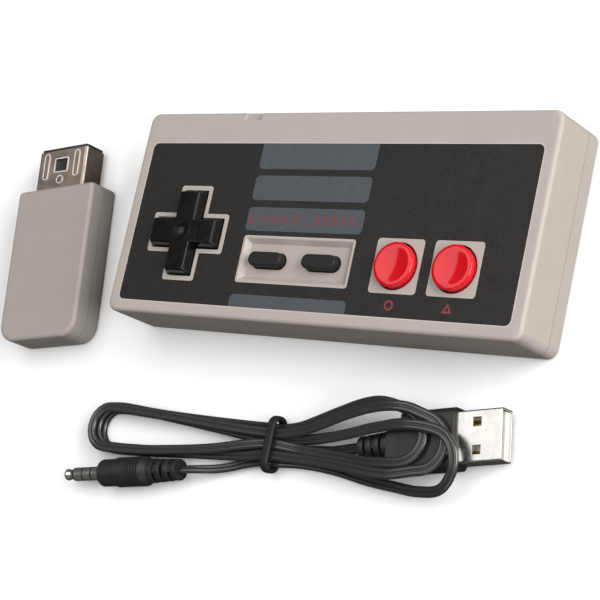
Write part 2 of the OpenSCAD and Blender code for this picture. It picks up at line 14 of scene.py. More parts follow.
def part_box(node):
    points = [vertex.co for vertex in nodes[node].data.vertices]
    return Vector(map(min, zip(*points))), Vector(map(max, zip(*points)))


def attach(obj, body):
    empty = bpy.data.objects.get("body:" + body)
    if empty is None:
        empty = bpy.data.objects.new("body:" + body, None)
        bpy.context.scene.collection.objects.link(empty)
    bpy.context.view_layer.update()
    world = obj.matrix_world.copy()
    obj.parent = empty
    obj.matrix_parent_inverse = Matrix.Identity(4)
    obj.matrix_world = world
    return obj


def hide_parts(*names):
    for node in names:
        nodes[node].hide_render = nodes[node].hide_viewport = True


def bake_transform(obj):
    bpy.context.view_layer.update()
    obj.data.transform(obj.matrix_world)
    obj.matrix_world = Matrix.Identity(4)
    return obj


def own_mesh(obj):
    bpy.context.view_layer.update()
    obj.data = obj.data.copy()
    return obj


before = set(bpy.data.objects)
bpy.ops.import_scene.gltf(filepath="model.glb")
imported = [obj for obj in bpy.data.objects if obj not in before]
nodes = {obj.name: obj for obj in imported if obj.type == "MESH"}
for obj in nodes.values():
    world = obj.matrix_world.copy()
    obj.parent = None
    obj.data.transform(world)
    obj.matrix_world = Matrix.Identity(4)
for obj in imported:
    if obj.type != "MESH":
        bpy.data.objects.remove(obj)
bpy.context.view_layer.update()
MM = 0.001


# ---- Camera ----

CAMERA_PLACE = Vector((0.27450, -0.10242, 0.35657))
CAMERA_AHEAD = Vector((-0.618, 0.184, -0.764))
CAMERA_UP = Vector((-0.053, 0.960, 0.274))
SENSOR_WIDTH = 36
LENS = 113.455


def make_camera():
    """The camera looks down over the controller's lower right corner."""
    ahead = CAMERA_AHEAD.normalized()
    right = ahead.cross(CAMERA_UP).normalized()
    up = right.cross(ahead)
    camera = bpy.data.objects.new("camera", bpy.data.cameras.new("camera"))
    turn = Matrix((right, up, -ahead)).transposed()
    camera.matrix_world = Matrix.Translation(CAMERA_PLACE) @ turn.to_4x4()
    camera.data.sensor_width = SENSOR_WIDTH
    camera.data.lens = LENS
    camera.data.clip_start = 0.01
    bpy.context.collection.objects.link(camera)
    bpy.context.scene.camera = camera


make_camera()


# ---- Materials ----

# The stretch of the angle between the true and the rounded normal over which an edge fades in
EDGE_SHARP = 0.80
EDGE_FLAT = 0.995


class Nodes:
    """A node material under construction, with one Principled shader and object coordinates."""

    def __init__(self, name, **sockets):
        self.material = bpy.data.materials.new(name)
        self.material.use_nodes = True
        self.tree = self.material.node_tree
        self.shader = self.tree.nodes["Principled BSDF"]
        for socket, value in sockets.items():
            self.shader.inputs[socket.replace("_", " ")].default_value = value
        self.place = self.add("ShaderNodeTexCoord").outputs["Object"]

    def add(self, kind, **inputs):
        node = self.tree.nodes.new(kind)
        for name, value in inputs.items():
            self.feed(node.inputs[name.replace("_", " ")], value)
        return node

    def feed(self, socket, value):
        if isinstance(value, bpy.types.NodeSocket):
            self.tree.links.new(value, socket)
        else:
            socket.default_value = value

    def shade(self, socket, value):
        self.feed(self.shader.inputs[socket], value)

    def noise(self, size, detail=3.0, stretch=None):
        """Soft noise with blotches of about this size in millimetres."""
        place = self.place
        if stretch:
            place = self.add("ShaderNodeMapping", Vector=place, Scale=stretch).outputs["Vector"]
        made = self.add("ShaderNodeTexNoise", Vector=place, Scale=1 / (size * MM), Detail=detail)
        return made.outputs["Fac"]

    def span(self, value, low, high, start=0.3, end=0.7):
        """The value's start to end brought to low to high."""
        made = self.add("ShaderNodeMapRange", Value=value)
        for name, number in (("From Min", start), ("From Max", end), ("To Min", low), ("To Max", high)):
            made.inputs[name].default_value = number
        return made.outputs["Result"]

    def mix(self, fac, first, second):
        """The first colour where the factor is nought, the second where it is one."""
        made = self.tree.nodes.new("ShaderNodeMix")
        made.data_type = "RGBA"
        self.feed(made.inputs["Factor"], fac)
        self.feed(made.inputs["A"], first)
        self.feed(made.inputs["B"], second)
        return made.outputs["Result"]

    def edges(self, radius):
        """One along convex and concave edges, nought on flat stretches."""
        rounded = self.add("ShaderNodeBevel", Radius=radius * MM)
        rounded.samples = 4
        normal = self.add("ShaderNodeNewGeometry").outputs["Normal"]
        dot = self.tree.nodes.new("ShaderNodeVectorMath")
        dot.operation = "DOT_PRODUCT"
        self.feed(dot.inputs[0], rounded.outputs["Normal"])
        self.feed(dot.inputs[1], normal)
        return self.span(dot.outputs["Value"], 1, 0, EDGE_SHARP, EDGE_FLAT)

    def level_line(self, height, width):
        """One within half this width of a height, both in millimetres, and nought elsewhere."""
        split = self.add("ShaderNodeSeparateXYZ", Vector=self.place)
        near = self.tree.nodes.new("ShaderNodeMath")
        near.operation = "COMPARE"
        self.feed(near.inputs[0], split.outputs["Z"])
        self.feed(near.inputs[1], height * MM)
        self.feed(near.inputs[2], width / 2 * MM)
        return near.outputs["Value"]

    def bump(self, *layers):
        """Bump from pairs of a height and its depth in millimetres."""
        normal = None
        for height, depth in layers:
            made = self.add("ShaderNodeBump", Height=height, Distance=depth * MM)
            if normal is not None:
                self.feed(made.inputs["Normal"], normal)
            normal = made.outputs["Normal"]
        self.shade("Normal", normal)


def linear(level):
    """A screen value from 0 to 255 in linear light."""
    if level < 10:
        return level / 255 / 12.92
    return ((level / 255 + 0.055) / 1.055) ** 2.4


def rgb(red, green, blue):
    """A colour given as 0 to 255 screen values, in linear light."""
    return (linear(red), linear(green), linear(blue), 1)


def scaled(colour, by):
    """The colour made lighter or darker by this factor."""
    return (*(min(1, c * by) for c in colour[:3]), 1)


# Plastic: sizes of blotches, edges and painted seam shadows in millimetres, how much its gloss varies,
# and how dark the painted shadow along a seam is
CLOUD_SIZE = 9
GLOSS_SIZE = 3
SPECKLE_SIZE = 0.6
EDGE_REACH = 0.35
SEAM_SHADOW_WIDTH = 0.2
GLOSS_SPREAD = 0.12
SEAM_PAINTED_SHADE = 0.55


def moulded(
    name, colour, rough, grain=0.25, depth=0.012, spread=0.05, wear=1.0, speckle=0.0, seam_shadow_height=None, **sockets
):
    """Moulded plastic or rubber: fine grain, cloudiness, uneven gloss, speckles, rubbed edges, and a dark
    line along a seam as painted shade.
    """
    made = Nodes(name, **sockets)
    cloud = made.noise(CLOUD_SIZE)
    fine = made.noise(grain, 2)
    tint = made.mix(made.span(cloud, 0, 1), scaled(colour, 1 - spread), scaled(colour, 1 + spread))
    tint = made.mix(made.span(fine, 0, 0.5), tint, scaled(colour, 1 - 2 * spread))
    if speckle:
        spots = made.noise(SPECKLE_SIZE, 1)
        tint = made.mix(made.span(spots, 0.8, 0, 0.36, 0.5), tint, scaled(colour, 1 - speckle))
        tint = made.mix(made.span(spots, 0, 0.8, 0.5, 0.64), tint, scaled(colour, 1 + speckle))
    if wear != 1.0:
        tint = made.mix(made.edges(EDGE_REACH), tint, scaled(colour, wear))
    # A dark line at the seam's height: painted shade for the gap between the two halves
    if seam_shadow_height is not None:
        tint = made.mix(made.level_line(seam_shadow_height, SEAM_SHADOW_WIDTH), tint, scaled(colour, SEAM_PAINTED_SHADE))
    made.shade("Base Color", tint)
    low, high = rough * (1 - GLOSS_SPREAD), min(1, rough * (1 + GLOSS_SPREAD))
    made.shade("Roughness", made.span(made.noise(GLOSS_SIZE), low, high))
    made.bump((fine, depth), (made.noise(grain * 6), depth * 2))
    return made.material


# Metal: sizes of its drawn lines, dull patches and bright edges in millimetres, and their shades
DRAWN_SIZE = 0.12
PATCH_SIZE = 4
METAL_EDGE = 0.2
PATCH_SHADE = 0.8
EDGE_SHADE = 1.35
METAL_GLOSS_SPREAD = 0.25


def metal(name, colour, rough, stretch=(1, 1, 1), depth=0.006, spread=0.08):
    """Plated metal with fine drawn lines along the stretched axis, dull patches and bright edges."""
    made = Nodes(name, Metallic=1.0)
    lines = made.noise(DRAWN_SIZE, 3, stretch)
    cloud = made.noise(PATCH_SIZE)
    tint = made.mix(made.span(lines, 0, 1), scaled(colour, 1 - spread), scaled(colour, 1 + spread))
    tint = made.mix(made.span(cloud, 0, 0.4), tint, scaled(colour, PATCH_SHADE))
    tint = made.mix(made.edges(METAL_EDGE), tint, scaled(colour, EDGE_SHADE))
    made.shade("Base Color", tint)
    low, high = rough * (1 - METAL_GLOSS_SPREAD), min(1, rough * (1 + METAL_GLOSS_SPREAD))
    made.shade("Roughness", made.span(cloud, low, high))
    made.bump((lines, depth))
    return made.material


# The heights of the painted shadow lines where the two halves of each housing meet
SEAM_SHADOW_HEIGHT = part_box("front_shell")[0].z / MM
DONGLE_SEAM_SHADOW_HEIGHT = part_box("dongle_top_shell")[0].z / MM

SHELL = moulded(
    "shell_grey", rgb(166, 158, 151), 0.66, grain=0.22, depth=0.02, spread=0.03, wear=1.12, seam_shadow_height=SEAM_SHADOW_HEIGHT,
)
SHELL_BACK = moulded(
    "shell_back", rgb(165, 157, 150), 0.66, grain=0.22, depth=0.02, spread=0.03, wear=1.12, seam_shadow_height=SEAM_SHADOW_HEIGHT,
)
DONGLE = moulded(
    "dongle_grey", rgb(155, 148, 142), 0.55, grain=0.22, depth=0.02, spread=0.03, wear=1.15,
    seam_shadow_height=DONGLE_SEAM_SHADOW_HEIGHT,
)
PLATE = moulded(
    "plate_dark", rgb(29, 26, 25), 0.55, grain=0.35, depth=0.012, spread=0.08, speckle=0.3,
    Specular_IOR_Level=0.3,
)
BAR = moulded("bar_grey", rgb(62, 66, 72), 0.5, grain=0.35, depth=0.012, spread=0.05, speckle=0.12)
MARK = moulded("mark_red", rgb(118, 38, 44), 0.5, grain=0.3, depth=0.008, spread=0.08)
GLOSS = moulded(
    "gloss_black", rgb(9, 9, 10), 0.19, grain=0.5, depth=0.002, spread=0.08, Specular_IOR_Level=0.3,
)
RED = moulded("button_red", rgb(199, 9, 25), 0.1, grain=0.8, depth=0.001, spread=0.03)
RUBBER = moulded(
    "key_rubber", rgb(20, 19, 19), 0.6, grain=0.2, depth=0.012, spread=0.08, Specular_IOR_Level=0.35,
)
GRIP = moulded("grip_black", rgb(26, 26, 27), 0.46, grain=0.2, depth=0.01, spread=0.08, wear=1.5)
CORD = moulded(
    "cord_black", rgb(43, 42, 42), 0.32, grain=0.3, depth=0.004, spread=0.08, Coat_Weight=0.7,
    Coat_Roughness=0.12,
)
# A lighter copy of the shell's grey: painted highlight along the edge of the plate's pocket
LIP_PAINTED_HIGHLIGHT = moulded("lip_painted_highlight", rgb(184, 176, 168), 0.5, grain=0.22, depth=0.01, spread=0.03)
SILICONE = moulded("silicone", rgb(205, 205, 200), 0.55, spread=0.04)
CARBON = moulded("carbon", rgb(38, 38, 40), 0.8, spread=0.1)
BOARD = moulded("board_green", rgb(30, 92, 58), 0.42, grain=0.6, spread=0.1)
CHIP = moulded("chip_black", rgb(34, 34, 36), 0.45, spread=0.1, wear=1.4)
IVORY = moulded("ivory", rgb(232, 229, 220), 0.4, spread=0.03)
CELL = moulded("cell_wrap", rgb(70, 92, 130), 0.35, grain=1.2, spread=0.06)
GOLD = metal("gold", rgb(230, 190, 105), 0.28)
TIN = metal("tin", rgb(205, 205, 203), 0.32)
NICKEL = metal("nickel", rgb(222, 220, 214), 0.2, (1, 1, 0.2))
JACKET = metal("jacket_metal", rgb(166, 152, 142), 0.42, (1, 0.15, 1), depth=0.01)
# A lighter copy of the jacket's metal: painted highlight on the pressed outlines
PRESSED_PAINTED_HIGHLIGHT = metal("pressed_metal_painted_highlight", rgb(240, 234, 226), 0.6, depth=0.004)
USB_METAL = metal("usb_metal", rgb(212, 210, 205), 0.24, (0.15, 1, 1))

FINISHES = {
    "front_shell": SHELL,
    "back_shell": SHELL_BACK,
    "face_plate": PLATE,
    "case_screws": TIN,
    "dpad_cap": GLOSS,
    "dpad_rocker": IVORY,
    "dpad_post": IVORY,
    "dpad_pills": CARBON,
    "button_b": RED,
    "button_b_pill": CARBON,
    "button_a": RED,
    "button_a_pill": CARBON,
    "select_key": RUBBER,
    "select_pill": CARBON,
    "start_key": RUBBER,
    "start_pill": CARBON,
    "main_board": BOARD,
    "board_pads": GOLD,
    "main_chip": CHIP,
    "radio_can": TIN,
    "battery": CELL,
    "charge_socket": CHIP,
    "dongle_top_shell": DONGLE,
    "dongle_bottom_shell": DONGLE,
    "dongle_board": BOARD,
    "dongle_chip": CHIP,
    "dongle_crystal": TIN,
    "connector_shell": JACKET,
    "connector_core": CHIP,
    "connector_contacts": GOLD,
    "jack_tip": NICKEL,
    "jack_ring_1": NICKEL,
    "jack_ring_2": NICKEL,
    "jack_sleeve": NICKEL,
    "jack_insulator": GRIP,
    "jack_grip": GRIP,
    "jack_boot": GRIP,
    "usb_boot": GRIP,
    "usb_grip": GRIP,
    "usb_shell": USB_METAL,
    "usb_tongue": IVORY,
    "usb_contacts": GOLD,
}

# Nodes whose edges are rounded a little further for the render, by this much in millimetres
SOFTENED = {
    "jack_grip": 0.12,
    "jack_boot": 0.2,
    "usb_boot": 0.2,
    "usb_grip": 0.25,
    "usb_shell": 0.08,
    "connector_core": 0.15,
    "jack_tip": 0.06,
    "jack_sleeve": 0.05,
}


def paint(obj, material):
    obj.data.materials.clear()
    obj.data.materials.append(material)


# The largest angle between neighbouring facets that still shades as one smooth surface, in degrees,
# for most nodes and for those with flat faces at shallow angles
SMOOTH_ANGLE = 32
CRISP = {"dpad_cap": 24, "connector_shell": 24}

# The smallest angle of an edge that is rounded, and how near vertices are joined, in millimetres
BEVEL_ANGLE = 34
WELD_REACH = 0.002


def smooth_faces(obj):
    for face in obj.data.polygons:
        face.use_smooth = True


def smooth(obj, rounding=0.0, angle=SMOOTH_ANGLE):
    """Smooth shading over curved stretches, with the sharp edges kept or slightly rounded."""
    smooth_faces(obj)
    weld = obj.modifiers.new("weld", "WELD")
    weld.merge_threshold = WELD_REACH * MM
    if rounding:
        bevel = obj.modifiers.new("bevel", "BEVEL")
        bevel.width = rounding * MM
        bevel.segments = 3
        bevel.limit_method = "ANGLE"
        bevel.angle_limit = math.radians(BEVEL_ANGLE)
        bevel.use_clamp_overlap = True
    split = obj.modifiers.new("split", "EDGE_SPLIT")
    split.split_angle = math.radians(angle)
    obj.modifiers.new("normals", "WEIGHTED_NORMAL")


for node_name, finish in FINISHES.items():
    paint(nodes[node_name], finish)
    smooth(nodes[node_name], SOFTENED.get(node_name, 0.0), CRISP.get(node_name, SMOOTH_ANGLE))


# ---- Helpers for new pieces, which take millimetres ----

def piece(name, verts, faces, material, body=None, slot=None):
    """A new mesh from points in millimetres, which rides on the body if one is named."""
    mesh = bpy.data.meshes.new(name)
    mesh.from_pydata([Vector(v) * MM for v in verts], [], faces)
    made = bmesh.new()
    made.from_mesh(mesh)
    bmesh.ops.recalc_face_normals(made, faces=made.faces)
    made.to_mesh(mesh)
    made.free()
    obj = bpy.data.objects.new(name, mesh)
    bpy.context.collection.objects.link(obj)
    mesh.materials.append(material)
    if body:
        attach(obj, body)
    return obj


def rings_mesh(rings, closed_along=False, capped=True):
    """Vertices and faces of a tube through rings of equal count."""
    count = len(rings[0])
    verts = [tuple(p) for ring in rings for p in ring]
    faces = []
    last = len(rings) if closed_along else len(rings) - 1
    for i in range(last):
        a = i * count
        b = (i + 1) % len(rings) * count
        for k in range(count):
            n = (k + 1) % count
            faces.append((a + k, a + n, b + n, b + k))
    if capped and not closed_along:
        faces.append(tuple(range(count)))
        faces.append(tuple(range((len(rings) - 1) * count, len(rings) * count)))
    return verts, faces


# ---- Charging cable: one cord from the jack's boot to the USB boot ----

# The cord's section, the step between its rings and the bend at the left end of the hank
CORD_WIDTH = 2.6
CORD_THICK = 1.38
STEP = 1.2
FOLD_RADIUS = 5.2

# Turns of the cord's flat side in degrees, and the lengths of cord over which they come and go
LEAD_ROLL = 50
LEAD_LENGTH = 30
SWAY = 7
SWAY_LENGTH = 19

JACK_LEAD = [
    (-36.52, -62.7, 3.8), (-32, -62, 3.4), (-27, -61.1, 2), (-22, -59.8, 1.45), (-18.5, -58.7, 1.5),
    (-15.5, -58, 1.7),
]
USB_LEAD = [(6.6, -53.2, 1.8), (9.6, -52.7, 2.2), (13, -52.1, 2.8), (16.5, -51.5, 3.4)]

# The tie: where it is, half the straight stretch of cord in it, and its seven strands in Y and Z
TIE_X = -10
TIE_HALF = 1.3
TIE_SLOTS = {
    "lower_1": (-49.35, 2.15), "lower_2": (-52.05, 2.15), "lower_3": (-54.75, 2.15),
    "lower_4": (-57.45, 2.15), "upper_1": (-50.7, 3.62), "upper_2": (-53.4, 3.62),
    "upper_3": (-56.1, 3.62),
}


def rightwards(slot):
    """A strand that passes the tie from left to right."""
    y, z = TIE_SLOTS[slot]
    return [(TIE_X - TIE_HALF, y, z), (TIE_X + TIE_HALF, y, z)]


def leftwards(slot):
    """A strand that passes the tie from right to left."""
    return rightwards(slot)[::-1]


def fold(x, y, z, count=7):
    """Half a turn at the left end of the hank, from its far side to its near side."""
    turns = [math.pi * i / count for i in range(count + 1)]
    return [(x - FOLD_RADIUS * math.sin(t), y + FOLD_RADIUS * math.cos(t), z) for t in turns]


def end_of_loop(x, y, radius, heights, reach):
    """The right end of a loop, from its near side to its far side, at the given heights."""
    points = []
    for k, z in enumerate(heights):
        turn = math.radians(reach * (2 * k / (len(heights) - 1) - 1))
        points.append((x + radius * math.cos(turn), y + radius * math.sin(turn), z))
    return points


OUTER_LOOP = [
    (-2, -56.9, 1.6), (4.3, -57, 1.4), (10.1, -57.5, 1.5), (18.2, -58.7, 1.9), (27.2, -59.5, 2.8),
    (34.4, -60, 4.2), *end_of_loop(38.4, -53, 6.8, [5.9, 7.4, 8.4, 9.0, 9.1], 66), (36, -45.8, 9.1),
    (29.5, -45.9, 8.9), (21, -47.3, 7.4), (12.7, -49.3, 5.8), (4.9, -50.7, 4.2), (-2, -51.4, 2.5),
]
MIDDLE_LOOP = [
    (-2, -56.2, 4.1), (5.7, -56.3, 4.7), (13.8, -56.8, 5.8), (21.9, -57.4, 6.9), (28.2, -57.3, 7.5),
    (33.6, -56.1, 7.6), *end_of_loop(35.2, -49.5, 6.2, [7.6, 7.6, 7.6, 7.7, 8.1], 62), (34, -42.7, 9.0),
    (30.5, -41.9, 9.15), (26, -41.9, 9.1), (19.4, -42.9, 8.1), (11.6, -45.1, 6.7), (4.1, -47.8, 5.3),
    (-2, -49.6, 4.3),
]
INNER_LOOP = [
    (-2, -53.8, 3.3), (4.6, -54.1, 3.7), (11, -54.5, 4.4), (17.8, -55, 5.5), (23.6, -55, 6.8),
    *end_of_loop(29.5, -48.4, 5.9, [7.5, 7.6, 7.6, 7.6, 7.6], 72), (26, -41.3, 7.5), (21.3, -40.8, 7),
    (16.3, -41.5, 6), (10.1, -43.4, 4.7), (2.6, -46.2, 3.4), (-3.4, -48.4, 2.6),
]
ROUTE = [
    *JACK_LEAD, *rightwards("lower_4"), *OUTER_LOOP, *leftwards("lower_2"),
    (-17, -51.9, 2.1), (-26, -51.2, 2.1), (-38, -50.2, 2.2), (-52, -49.2, 2.2), *fold(-63.9, -54, 2.2),
    (-52, -58.9, 2.2), (-38, -58.2, 2.2), (-26, -57.5, 2.3), (-17, -56.9, 3.1),
    *rightwards("upper_3"), *MIDDLE_LOOP, *leftwards("upper_1"),
    (-18, -50.7, 3.6), (-28, -50.4, 3.6), (-40, -49.8, 3.65), (-52, -49.4, 3.65),
    *fold(-64.6, -54.4, 3.65),
    (-52, -59.2, 3.65), (-40, -58, 3.65), (-28, -56.4, 3.8), (-18, -54.4, 3.9),
    *rightwards("upper_2"), *INNER_LOOP, *leftwards("lower_1"),
    (-16, -49.3, 1.3), (-24, -49.3, 0.75), (-38, -49.3, 0.75), (-52, -49.1, 0.75),
    *fold(-63.4, -54.2, 0.75),
    (-52, -59, 0.75), (-38, -58, 0.75), (-26, -56.6, 0.75), (-17, -55.4, 1.3),
    *rightwards("lower_3"), (-3, -54.1, 1.6), (2, -53.5, 1.6), *USB_LEAD,
]


def smooth_line(points, step):
    """A centripetal Catmull-Rom line through the points, resampled at even steps."""
    p = np.array(points, float)
    p = np.vstack([2 * p[0] - p[1], p, 2 * p[-1] - p[-2]])
    parts = []
    for a, b, c, d in zip(p, p[1:], p[2:], p[3:]):
        t0 = 0.0
        t1 = t0 + np.linalg.norm(b - a) ** 0.5
        t2 = t1 + np.linalg.norm(c - b) ** 0.5
        t3 = t2 + np.linalg.norm(d - c) ** 0.5
        t = np.linspace(t1, t2, 24, endpoint=False)[:, None]
        ab = ((t1 - t) * a + (t - t0) * b) / (t1 - t0)
        bc = ((t2 - t) * b + (t - t1) * c) / (t2 - t1)
        cd = ((t3 - t) * c + (t - t2) * d) / (t3 - t2)
        abc = ((t2 - t) * ab + (t - t0) * bc) / (t2 - t0)
        bcd = ((t3 - t) * bc + (t - t1) * cd) / (t3 - t1)
        parts.append(((t2 - t) * abc + (t - t1) * bcd) / (t2 - t1))
    line = np.vstack([*parts, p[-2][None]])
    along = np.concatenate([[0], np.cumsum(np.linalg.norm(np.diff(line, axis=0), axis=1))])
    even = np.linspace(0, along[-1], int(round(along[-1] / step)) + 1)
    return np.stack([np.interp(even, along, line[:, k]) for k in range(3)], 1)


def twin_section(count=14):
    """Outline of the flat twin cord: two round cores side by side with a groove between them."""
    radius = CORD_THICK / 2
    shift = CORD_WIDTH / 2 - radius
    groove = math.pi - math.acos(shift / radius)
    outline = []
    for side in (1, -1):
        for k in range(count):
            turn = groove * (2 * (k + 0.5) / count - 1)
            outline.append((side * (shift + radius * math.cos(turn)), side * radius * math.sin(turn)))
    return outline


def cord_roll(along, length):
    """How far the cord's flat side is turned from level: most on the jack's lead, gently elsewhere."""
    lead = math.radians(LEAD_ROLL) * max(0, 1 - along / LEAD_LENGTH)
    sway = math.radians(SWAY) * math.sin(along / SWAY_LENGTH)
    return lead + sway * math.sin(math.pi * along / length)


def make_cord():
    """The cord as one tube of the twin section, and the centre line that it follows."""
    line = smooth_line(ROUTE, STEP)
    ahead = np.gradient(line, axis=0)
    ahead /= np.linalg.norm(ahead, axis=1)[:, None]
    outline = twin_section()
    length = STEP * (len(line) - 1)
    rings = []
    for i, (centre, forward) in enumerate(zip(line, ahead)):
        side = np.cross(forward, (0, 0, 1))
        side /= np.linalg.norm(side)
        over = np.cross(side, forward)
        roll = cord_roll(i * STEP, length)
        across = math.cos(roll) * side + math.sin(roll) * over
        over = np.cross(across, forward)
        rings.append([centre + u * across + v * over for u, v in outline])
    verts, faces = rings_mesh(rings)
    made = piece("cable_cord", verts, faces, CORD, "charging_cable", "cord_black")
    smooth_faces(made)
    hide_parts("cord_hank", "jack_lead", "usb_lead")
    return made, line


def rounded_loop(width, height, radius, count=8):
    """Points round a rectangle with round corners, centred on nought."""
    points = []
    for quarter, (sx, sy) in enumerate(((1, 1), (-1, 1), (-1, -1), (1, -1))):
        for k in range(count + 1):
            turn = math.pi / 2 * (quarter + k / count)
            x = sx * (width / 2 - radius) + radius * math.cos(turn)
            y = sy * (height / 2 - radius) + radius * math.sin(turn)
            points.append((x, y))
    return points


# The band's thickness, the bend at its corners and the rounding of its section
TIE_THICK = 1.15
TIE_CORNER = 2.1
TIE_ROUNDING = 0.5


def make_tie():
    """The rubber band round the hank, softly rounded in section."""
    low, high = (Vector(corner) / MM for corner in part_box("cable_tie"))
    middle = (low + high) / 2
    path = rounded_loop(high.y - low.y - TIE_THICK, high.z - low.z - TIE_THICK, TIE_CORNER)
    section = rounded_loop(high.x - low.x, TIE_THICK, TIE_ROUNDING, 4)
    rings = []
    for i, (y, z) in enumerate(path):
        before = Vector(path[i - 1])
        after = Vector(path[(i + 1) % len(path)])
        out = Vector((after.y - before.y, before.x - after.x)).normalized()
        y += middle.y
        z += middle.z
        rings.append([(middle.x + u, y + v * out.x, z + v * out.y) for u, v in section])
    verts, faces = rings_mesh(rings, closed_along=True)
    made = piece("rubber_tie", verts, faces, RUBBER, "charging_cable", "black_plastic")
    smooth_faces(made)
    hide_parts("cable_tie")
    return made


cord, cord_line = make_cord()
tie = make_tie()


# ---- Printing on the face plate ----

# How far the print reaches into the plate, how far it stands proud, and the marks above the bars
PRINT_LOW = 0.005
PRINT_TOP = 0.02
MARK_RISE = 0.005

# The grey bars: their ends, their corners, and how far they stay inside the plate's edge
BAR_LEFT = -21.8
BAR_RIGHT = 13.4
BAR_ROUNDING = 1.2
SQUARE_CORNER = 0.02
PLATE_MARGIN = 0.05

# The marks over the keys and under the buttons: their rows in Y and their places in X
SELECT_ROW = -1.1
SELECT_ARROWS = ((-1, -20.1), (1, -6.8))
SELECT_RINGS = (-17.3, -15.4, -13.5, -11.5, -9.6)
START_ROW = -1.0
START_ARROWS = (-0.2, 2.4, 5.0)
START_STROKES = (7.6, 9.3, 11.0)
BUTTON_ROW = -20.5
RING_X = 25.3
TRIANGLE_X = 41.2

# Their sizes: an arrow's width, height and stroke, a stroke's width and height, and outer and
# inner radii
ARROW = (1.9, 2.4, 0.75)
STROKE = (0.5, 2.4)
SMALL_RING = (0.62, 0.28)
RING = (1.25, 0.75)
TRIANGLE = (1.6, 0.672)
TRIANGLE_DROP = 0.2

# The plate's rim, lighter than the shell as a painted highlight: its outer and inner margin round the
# plate with their corner radii
RIM_OUTER = (0.55, 1.75)
RIM_INNER = (0.06, 1.53)
RIM_DEPTH = 0.2
RIM_RISE = 0.012


def plate_top():
    """The height of the face plate's upper side."""
    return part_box("face_plate")[1].z / MM


def slab(outline, bottom, top):
    """A flat piece with this outline."""
    return rings_mesh([[(x, y, bottom) for x, y in outline], [(x, y, top) for x, y in outline]])


def band(outer, inner, bottom, top):
    """A flat ring between two outlines of equal count."""
    levels = ((outer, bottom), (outer, top), (inner, top), (inner, bottom))
    rings = [[(x, y, z) for x, y in line] for line, z in levels]
    return rings_mesh(rings, closed_along=True)


def joined(parts):
    """One mesh from several."""
    verts, faces = [], []
    for more_verts, more_faces in parts:
        start = len(verts)
        verts += more_verts
        faces += [tuple(start + k for k in face) for face in more_faces]
    return verts, faces


def moved(points, x, y):
    """The outline shifted by x and y."""
    return [(x + px, y + py) for px, py in points]


def circle(radius, count=28):
    turns = [2 * math.pi * k / count for k in range(count)]
    return [(radius * math.cos(turn), radius * math.sin(turn)) for turn in turns]


def chevron(width, height, stroke, side):
    """A chevron whose point is at the left for side -1 and at the right for side 1."""
    x = width / 2
    y = height / 2
    outline = [(-x, y), (-x + stroke, y), (x, 0), (-x + stroke, -y), (-x, -y), (x - stroke, 0)]
    return [(side * px, py) for px, py in outline]


def printed(name, parts, material, slot):
    """One printed piece on the face plate."""
    verts, faces = joined(parts)
    return piece(name, verts, faces, material, "controller", slot)


def bar_outline(low, high, round_top, round_bottom, count=6):
    """A bar between two heights, with its upper and lower corners round or square."""
    corners = [
        (BAR_RIGHT, high, round_top), (BAR_LEFT, high, round_top), (BAR_LEFT, low, round_bottom),
        (BAR_RIGHT, low, round_bottom),
    ]
    outline = []
    for quarter, (x, y, is_round) in enumerate(corners):
        radius = BAR_ROUNDING if is_round else SQUARE_CORNER
        x += -radius if quarter in (0, 3) else radius
        y += -radius if quarter in (0, 1) else radius
        for k in range(count + 1):
            turn = math.pi / 2 * (quarter + k / count)
            outline.append((x + radius * math.cos(turn), y + radius * math.sin(turn)))
    return outline


def print_bars(bottom, top):
    """Grey bars between the direction pad and the buttons, rounded where they end free."""
    low, high = (Vector(corner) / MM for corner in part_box("face_plate"))
    rows = [
        (11.7, high.y - PLATE_MARGIN, False, True), (3.7, 10.0, True, True), (-4.1, 1.9, True, True),
        (low.y + PLATE_MARGIN, -20.2, True, False),
    ]
    for number, row in enumerate(rows, 1):
        printed(f"printed_bar_{number}", [slab(bar_outline(*row), bottom, top)], BAR, "plate_dark")


def print_marks(bottom, top):
    """Generic pictograms where the keys and the buttons carry their marks."""
    top += MARK_RISE
    half_width, half_height = (size / 2 for size in STROKE)
    stroke = [(half_width * x, half_height * y) for x, y in ((-1, -1), (1, -1), (1, 1), (-1, 1))]

    def flat(outline, x, y):
        return slab(moved(outline, x, y), bottom, top)

    def hollow(outer, inner, x, y):
        return band(moved(outer, x, y), moved(inner, x, y), bottom, top)

    def triangle(radius):
        return [(-y, x - TRIANGLE_DROP) for x, y in circle(radius, 3)]

    select = [flat(chevron(*ARROW, side), x, SELECT_ROW) for side, x in SELECT_ARROWS]
    small_ring = [circle(radius, 20) for radius in SMALL_RING]
    select += [hollow(*small_ring, x, SELECT_ROW) for x in SELECT_RINGS]
    printed("mark_select", select, MARK, "button_red")

    start = [flat(chevron(*ARROW, 1), x, START_ROW) for x in START_ARROWS]
    start += [flat(stroke, x, START_ROW) for x in START_STROKES]
    printed("mark_start", start, MARK, "button_red")

    ring = hollow(*(circle(radius) for radius in RING), RING_X, BUTTON_ROW)
    printed("mark_ring", [ring], MARK, "button_red")
    upright = hollow(*(triangle(radius) for radius in TRIANGLE), TRIANGLE_X, BUTTON_ROW)
    printed("mark_triangle", [upright], MARK, "button_red")


def make_plate_lip():
    """The fine edge of the pocket that the face plate lies in, coloured lighter than the shell as a
    painted highlight.
    """
    low, high = (Vector(corner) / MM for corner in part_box("face_plate"))
    middle = (low.y + high.y) / 2
    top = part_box("front_shell")[1].z / MM

    def around(margin, radius):
        loop = rounded_loop(high.x - low.x + margin, high.y - low.y + margin, radius)
        return moved(loop, 0, middle)

    verts, faces = band(around(*RIM_OUTER), around(*RIM_INNER), top - RIM_DEPTH, top + RIM_RISE)
    piece("plate_lip_painted_highlight", verts, faces, LIP_PAINTED_HIGHLIGHT, "controller", "shell_grey")


